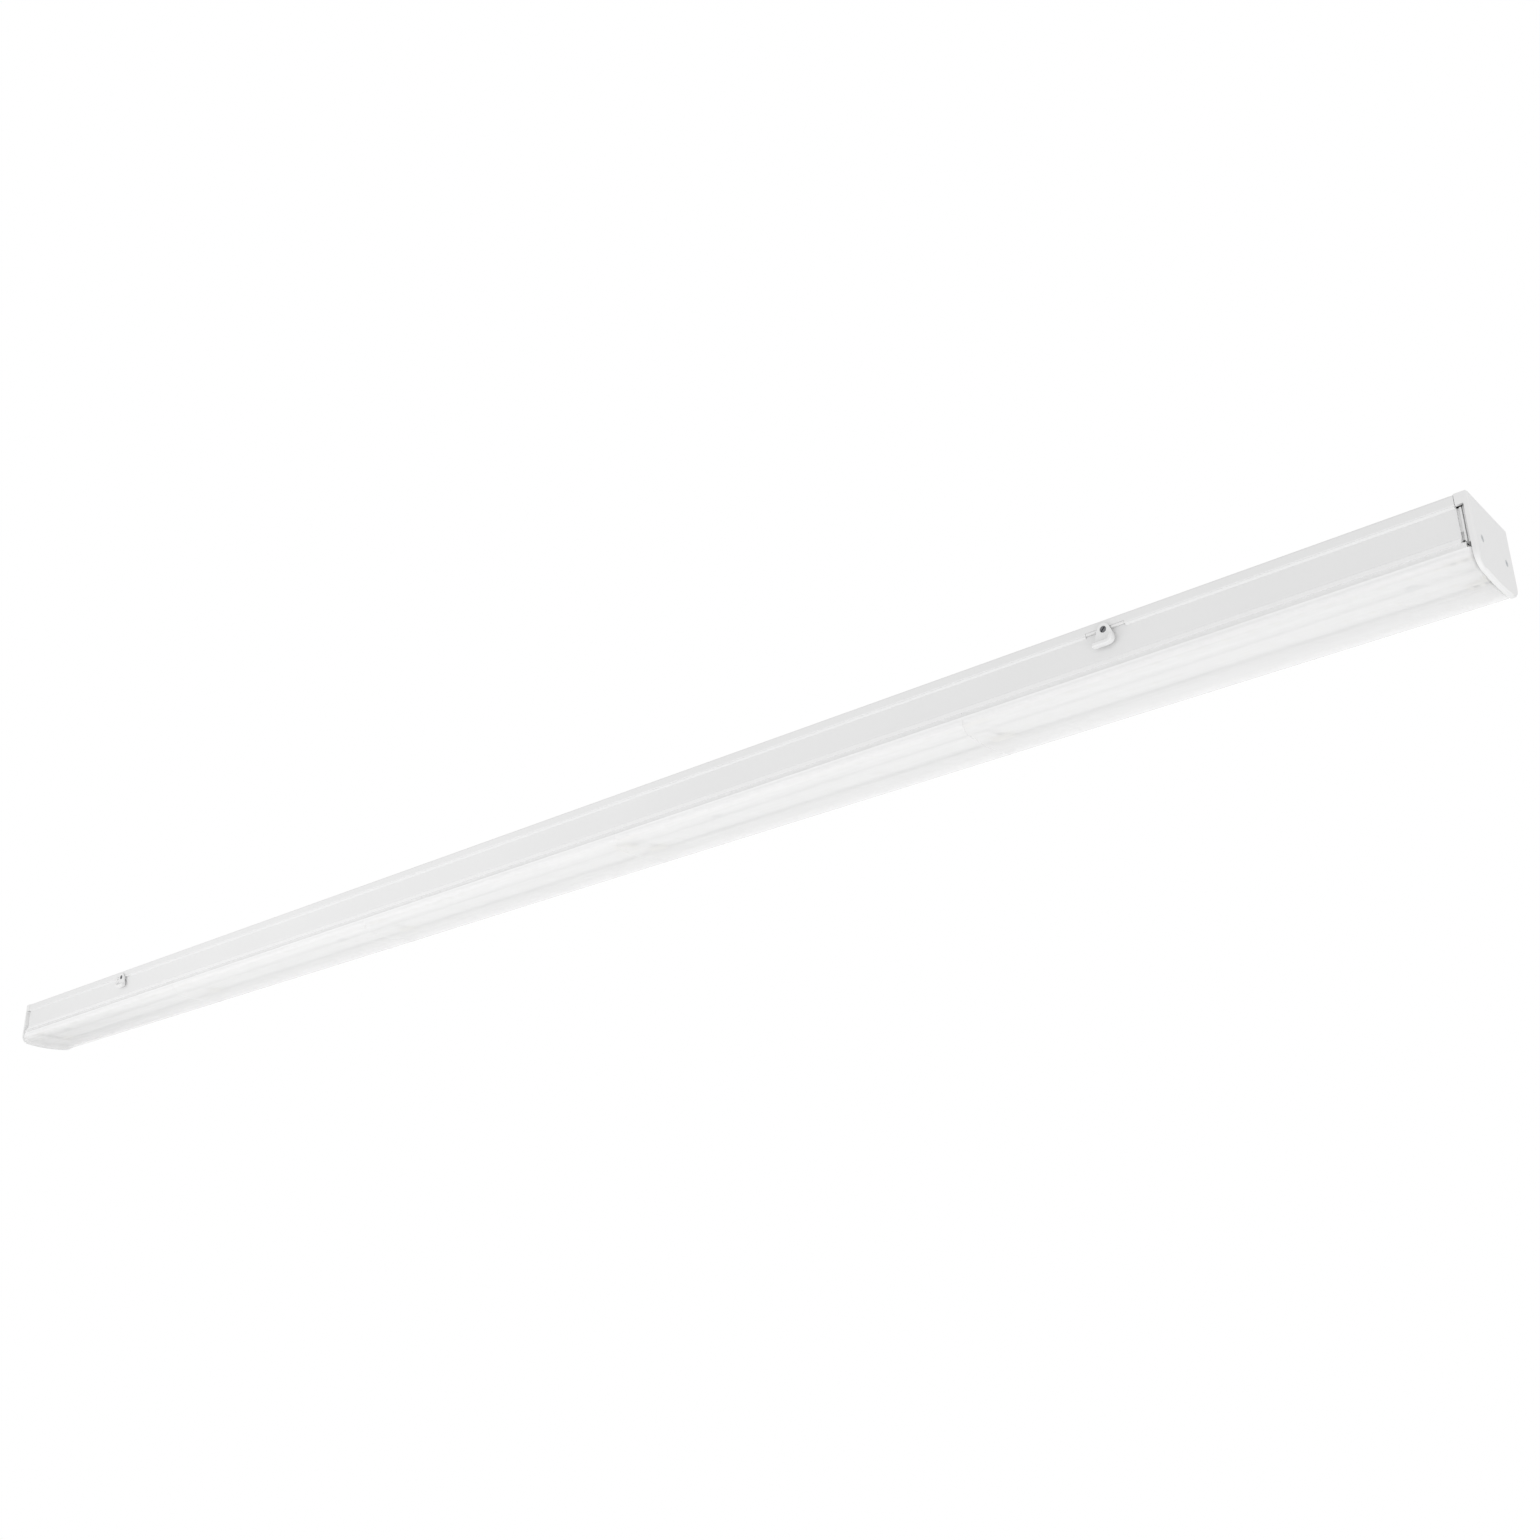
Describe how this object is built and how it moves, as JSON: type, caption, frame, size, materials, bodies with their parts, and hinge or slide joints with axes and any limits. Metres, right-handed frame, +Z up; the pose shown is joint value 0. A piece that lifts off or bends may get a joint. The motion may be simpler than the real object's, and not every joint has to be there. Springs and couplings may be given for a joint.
{
  "type": "linear track light",
  "caption": "Long slim ceiling light: a folded white rail and gear tray with finger turn latches, a clear moulded lens over rows of LEDs, and end caps.",
  "frame": {"origin": "middle of the rail's flat ceiling face", "axes": "+X along the length towards the right end, +Z up towards the ceiling, -Y to the front side"},
  "size_m": [1.69, 0.0714, 0.047],
  "materials": {
    "white_steel": "satin white polyester powder coat on folded steel sheet",
    "zinc_steel": "bright zinc plate",
    "dark_steel": "dark zinc plate",
    "white_plastic": "white polycarbonate, fine moulded satin",
    "clear_lens": "clear moulded acrylic",
    "board_white": "white solder mask",
    "led_phosphor": "yellow phosphor in a white package",
    "connector_white": "white nylon",
    "black_rubber": "black moulded rubber",
    "driver_plastic": "pale grey polycarbonate case",
    "terminal_grey": "grey polyamide",
    "lead_insulation": "PVC insulation"
  },
  "bodies": {
    "housing": {"mounting_rail": "white_steel", "gear_tray": "white_steel", "led_carrier": "white_steel", "end_bracket_right": "white_steel", "end_bracket_left": "white_steel", "catch_bracket_right": "zinc_steel", "catch_bracket_left": "zinc_steel", "end_cap_screws": "zinc_steel", "carrier_screws": "zinc_steel", "driver_screws": "zinc_steel", "driver_base": "zinc_steel", "earth_screw": "zinc_steel", "end_cap_right": "white_plastic", "end_cap_left": "white_plastic", "lens_1": "clear_lens", "lens_2": "clear_lens", "lens_3": "clear_lens", "lens_4": "clear_lens", "lens_5": "clear_lens", "led_board_front_1": "board_white", "led_board_front_2": "board_white", "led_board_front_3": "board_white", "led_board_front_4": "board_white", "led_board_front_5": "board_white", "led_board_back_1": "board_white", "led_board_back_2": "board_white", "led_board_back_3": "board_white", "led_board_back_4": "board_white", "led_board_back_5": "board_white", "led_chips_front": "led_phosphor", "led_chips_back": "led_phosphor", "board_connectors": "connector_white", "feed_connector": "connector_white", "cable_grommet": "black_rubber", "lead_bush": "black_rubber", "driver_case": "driver_plastic", "driver_input_terminal": "terminal_grey", "driver_output_terminal": "terminal_grey", "mains_terminal": "terminal_grey", "mains_leads": "lead_insulation", "led_leads": "lead_insulation"},
    "latch_right_front": {"latch_lever_right_front": "white_plastic", "latch_pin_right_front": "dark_steel", "latch_cam_right_front": "zinc_steel"},
    "latch_left_front": {"latch_lever_left_front": "white_plastic", "latch_pin_left_front": "dark_steel", "latch_cam_left_front": "zinc_steel"},
    "latch_right_back": {"latch_lever_right_back": "white_plastic", "latch_pin_right_back": "dark_steel", "latch_cam_right_back": "zinc_steel"},
    "latch_left_back": {"latch_lever_left_back": "white_plastic", "latch_pin_left_back": "dark_steel", "latch_cam_left_back": "zinc_steel"}
  },
  "joints": [
    {"name": "latch_right_front_turn", "type": "hinge", "parent": "housing", "child": "latch_right_front", "pos_m": [0.617, -0.029, -0.0076], "axis": [0, -1, 0], "range_deg": [0, 75]},
    {"name": "latch_left_front_turn", "type": "hinge", "parent": "housing", "child": "latch_left_front", "pos_m": [-0.617, -0.029, -0.0076], "axis": [0, 1, 0], "range_deg": [0, 75]},
    {"name": "latch_right_back_turn", "type": "hinge", "parent": "housing", "child": "latch_right_back", "pos_m": [0.617, 0.029, -0.0076], "axis": [0, -1, 0], "range_deg": [0, 75]},
    {"name": "latch_left_back_turn", "type": "hinge", "parent": "housing", "child": "latch_left_back", "pos_m": [-0.617, 0.029, -0.0076], "axis": [0, 1, 0], "range_deg": [0, 75]}
  ]
}
